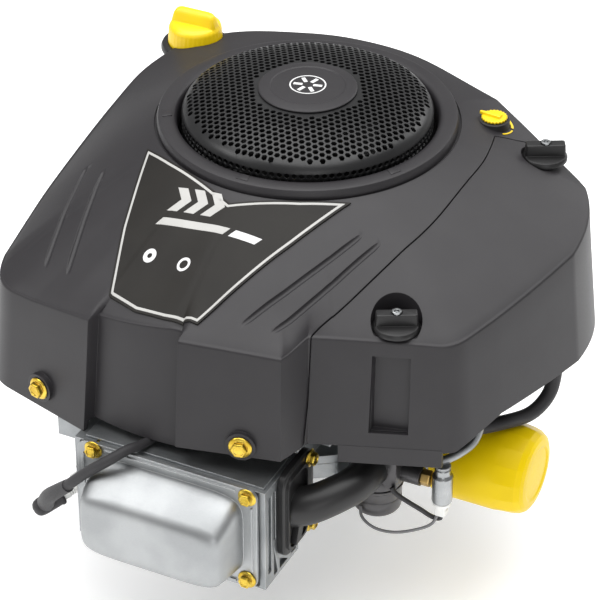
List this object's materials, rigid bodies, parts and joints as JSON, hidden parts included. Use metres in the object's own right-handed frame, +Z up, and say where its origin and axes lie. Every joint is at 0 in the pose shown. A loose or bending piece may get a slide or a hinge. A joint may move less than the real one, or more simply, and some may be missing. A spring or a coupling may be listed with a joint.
{
  "type": "small gasoline engine",
  "caption": "Vertical-shaft single-cylinder overhead-valve petrol engine with moulded blower housing, rotating screen, air cleaner, oil filter and carburettor.",
  "frame": {"origin": "crankshaft axis at the underside of the sump mounting flange", "axes": "+Z up along the crankshaft, away from the output shaft; the cylinder and valve cover point to -Y; the air cleaner and oil filter are on +X"},
  "size_m": [0.4606, 0.4694, 0.3974],
  "materials": {
    "housing_plastic": "fine matt grain, injection moulded",
    "black_plastic": "satin",
    "rubber": "matt",
    "polished_aluminium": "bright satin pressed cover",
    "cast_aluminium": "as cast",
    "steel": "machined",
    "iron": "cast",
    "yellow_zinc": "yellow passivated",
    "yellow_plastic": "moulded",
    "yellow_paint": "gloss",
    "white_plastic": "moulded",
    "filter_paper": "pleated",
    "brass": "turned",
    "decal": "printed film"
  },
  "bodies": {
    "engine": {"oil_sump": "cast_aluminium", "crankcase": "cast_aluminium", "cylinder_head": "cast_aluminium", "carburetor_body": "cast_aluminium", "oil_filter_adapter": "cast_aluminium", "head_gasket": "steel", "solenoid_bracket": "steel", "fuel_solenoid": "steel", "head_shield": "black_plastic", "intake_manifold": "black_plastic", "dipstick_tube": "black_plastic", "air_cleaner_base": "black_plastic", "ignition_coil": "black_plastic", "valve_cover_gasket": "rubber", "solenoid_wire": "rubber", "breather_hose": "rubber", "spark_plug_boot": "rubber", "ignition_lead": "rubber", "valve_cover": "polished_aluminium", "carburetor_bowl": "polished_aluminium", "valve_cover_bolt_1": "yellow_zinc", "valve_cover_bolt_2": "yellow_zinc", "valve_cover_bolt_3": "yellow_zinc", "valve_cover_bolt_4": "yellow_zinc", "manifold_bolt_1": "yellow_zinc", "manifold_bolt_2": "yellow_zinc", "housing_bolt_1": "yellow_zinc", "housing_bolt_2": "yellow_zinc", "fuel_fitting": "brass", "stator": "brass", "solenoid_connector": "white_plastic", "spark_plug": "white_plastic", "oil_filter": "yellow_paint", "starter_motor": "iron", "blower_housing": "housing_plastic", "air_cleaner_cover": "housing_plastic", "decal_panel": "decal", "air_filter_element": "filter_paper"},
    "crank": {"crankshaft": "steel", "flywheel": "iron", "cooling_fan": "black_plastic", "rotating_screen": "black_plastic", "screen_cap": "black_plastic"},
    "big_end": {"connecting_rod_big_end": "cast_aluminium"},
    "cam": {"camshaft": "iron"},
    "piston_group": {"piston": "cast_aluminium", "wrist_pin": "steel", "connecting_rod_small_end": "cast_aluminium"},
    "intake_rocker_body": {"intake_rocker": "steel"},
    "exhaust_rocker_body": {"exhaust_rocker": "steel"},
    "intake_valve_body": {"intake_valve": "steel"},
    "exhaust_valve_body": {"exhaust_valve": "steel"},
    "intake_pushrod_body": {"intake_pushrod": "steel"},
    "exhaust_pushrod_body": {"exhaust_pushrod": "steel"},
    "front_knob": {"cover_knob_front": "black_plastic"},
    "rear_knob": {"cover_knob_rear": "black_plastic"},
    "dipstick": {"oil_dipstick": "yellow_plastic"},
    "dial": {"control_dial": "yellow_plastic"},
    "pinion": {"starter_pinion": "steel"},
    "throttle": {"throttle_lever": "steel"}
  },
  "joints": [
    {"name": "crank_spin", "type": "hinge", "parent": "engine", "child": "crank", "pos_m": [0, 0, 0.066], "axis": [0, 0, 1], "continuous": true},
    {"name": "big_end_turn", "type": "hinge", "parent": "crank", "child": "big_end", "pos_m": [0, -0.042, 0.066], "axis": [0, 0, 1], "continuous": true},
    {"name": "cam_spin", "type": "hinge", "parent": "engine", "child": "cam", "pos_m": [-0.078, 0, 0.06], "axis": [0, 0, 1], "continuous": true},
    {"name": "piston_stroke", "type": "slide", "parent": "engine", "child": "piston_group", "axis": [0, 1, 0], "range_m": [0, 0.084]},
    {"name": "intake_pushrod_lift", "type": "slide", "parent": "engine", "child": "intake_pushrod_body", "axis": [0, -1, 0], "range_m": [0, 0.0056], "stiffness_N_per_m": 200},
    {"name": "intake_rocker_tilt", "type": "hinge", "parent": "engine", "child": "intake_rocker_body", "pos_m": [-0.04, -0.252, 0.049], "axis": [0, 0, 1], "range_deg": [0, 13]},
    {"name": "intake_valve_lift", "type": "slide", "parent": "engine", "child": "intake_valve_body", "axis": [0, 1, 0], "range_m": [0, 0.0075]},
    {"name": "exhaust_pushrod_lift", "type": "slide", "parent": "engine", "child": "exhaust_pushrod_body", "axis": [0, -1, 0], "range_m": [0, 0.0056], "stiffness_N_per_m": 200},
    {"name": "exhaust_rocker_tilt", "type": "hinge", "parent": "engine", "child": "exhaust_rocker_body", "pos_m": [-0.04, -0.252, 0.083], "axis": [0, 0, 1], "range_deg": [0, 13]},
    {"name": "exhaust_valve_lift", "type": "slide", "parent": "engine", "child": "exhaust_valve_body", "axis": [0, 1, 0], "range_m": [0, 0.0075]},
    {"name": "front_knob_turn", "type": "hinge", "parent": "engine", "child": "front_knob", "pos_m": [0.157, -0.165, 0.224], "axis": [0, 0, 1], "range_deg": [0, 90]},
    {"name": "rear_knob_turn", "type": "hinge", "parent": "engine", "child": "rear_knob", "pos_m": [0.188, 0.059, 0.264], "axis": [0, 0, 1], "range_deg": [0, 90]},
    {"name": "dipstick_turn", "type": "hinge", "parent": "engine", "child": "dipstick", "pos_m": [-0.155, 0.094, 0.272], "axis": [0, 0, 1], "range_deg": [0, 90]},
    {"name": "dial_turn", "type": "hinge", "parent": "engine", "child": "dial", "pos_m": [0.136, 0.074, 0.2815], "axis": [0, 0, 1], "range_deg": [0, 90]},
    {"name": "starter_spin", "type": "hinge", "parent": "engine", "child": "pinion", "pos_m": [0.0505, 0.1083, 0.14], "axis": [0, 0, 1], "continuous": true},
    {"name": "throttle_turn", "type": "hinge", "parent": "engine", "child": "throttle", "pos_m": [0.125, -0.157, 0.097], "axis": [0, 0, 1], "range_deg": [0, 70]}
  ],
  "couplings": [
    {"joint": "big_end_turn", "follows": "crank_spin", "ratio": -1},
    {"joint": "cam_spin", "follows": "crank_spin", "ratio": -0.5},
    {"joint": "intake_rocker_tilt", "follows": "intake_pushrod_lift", "rad_per_m": 37.45},
    {"joint": "intake_valve_lift", "follows": "intake_pushrod_lift", "ratio": 1.2247},
    {"joint": "exhaust_rocker_tilt", "follows": "exhaust_pushrod_lift", "rad_per_m": 37.45},
    {"joint": "exhaust_valve_lift", "follows": "exhaust_pushrod_lift", "ratio": 1.2247}
  ]
}
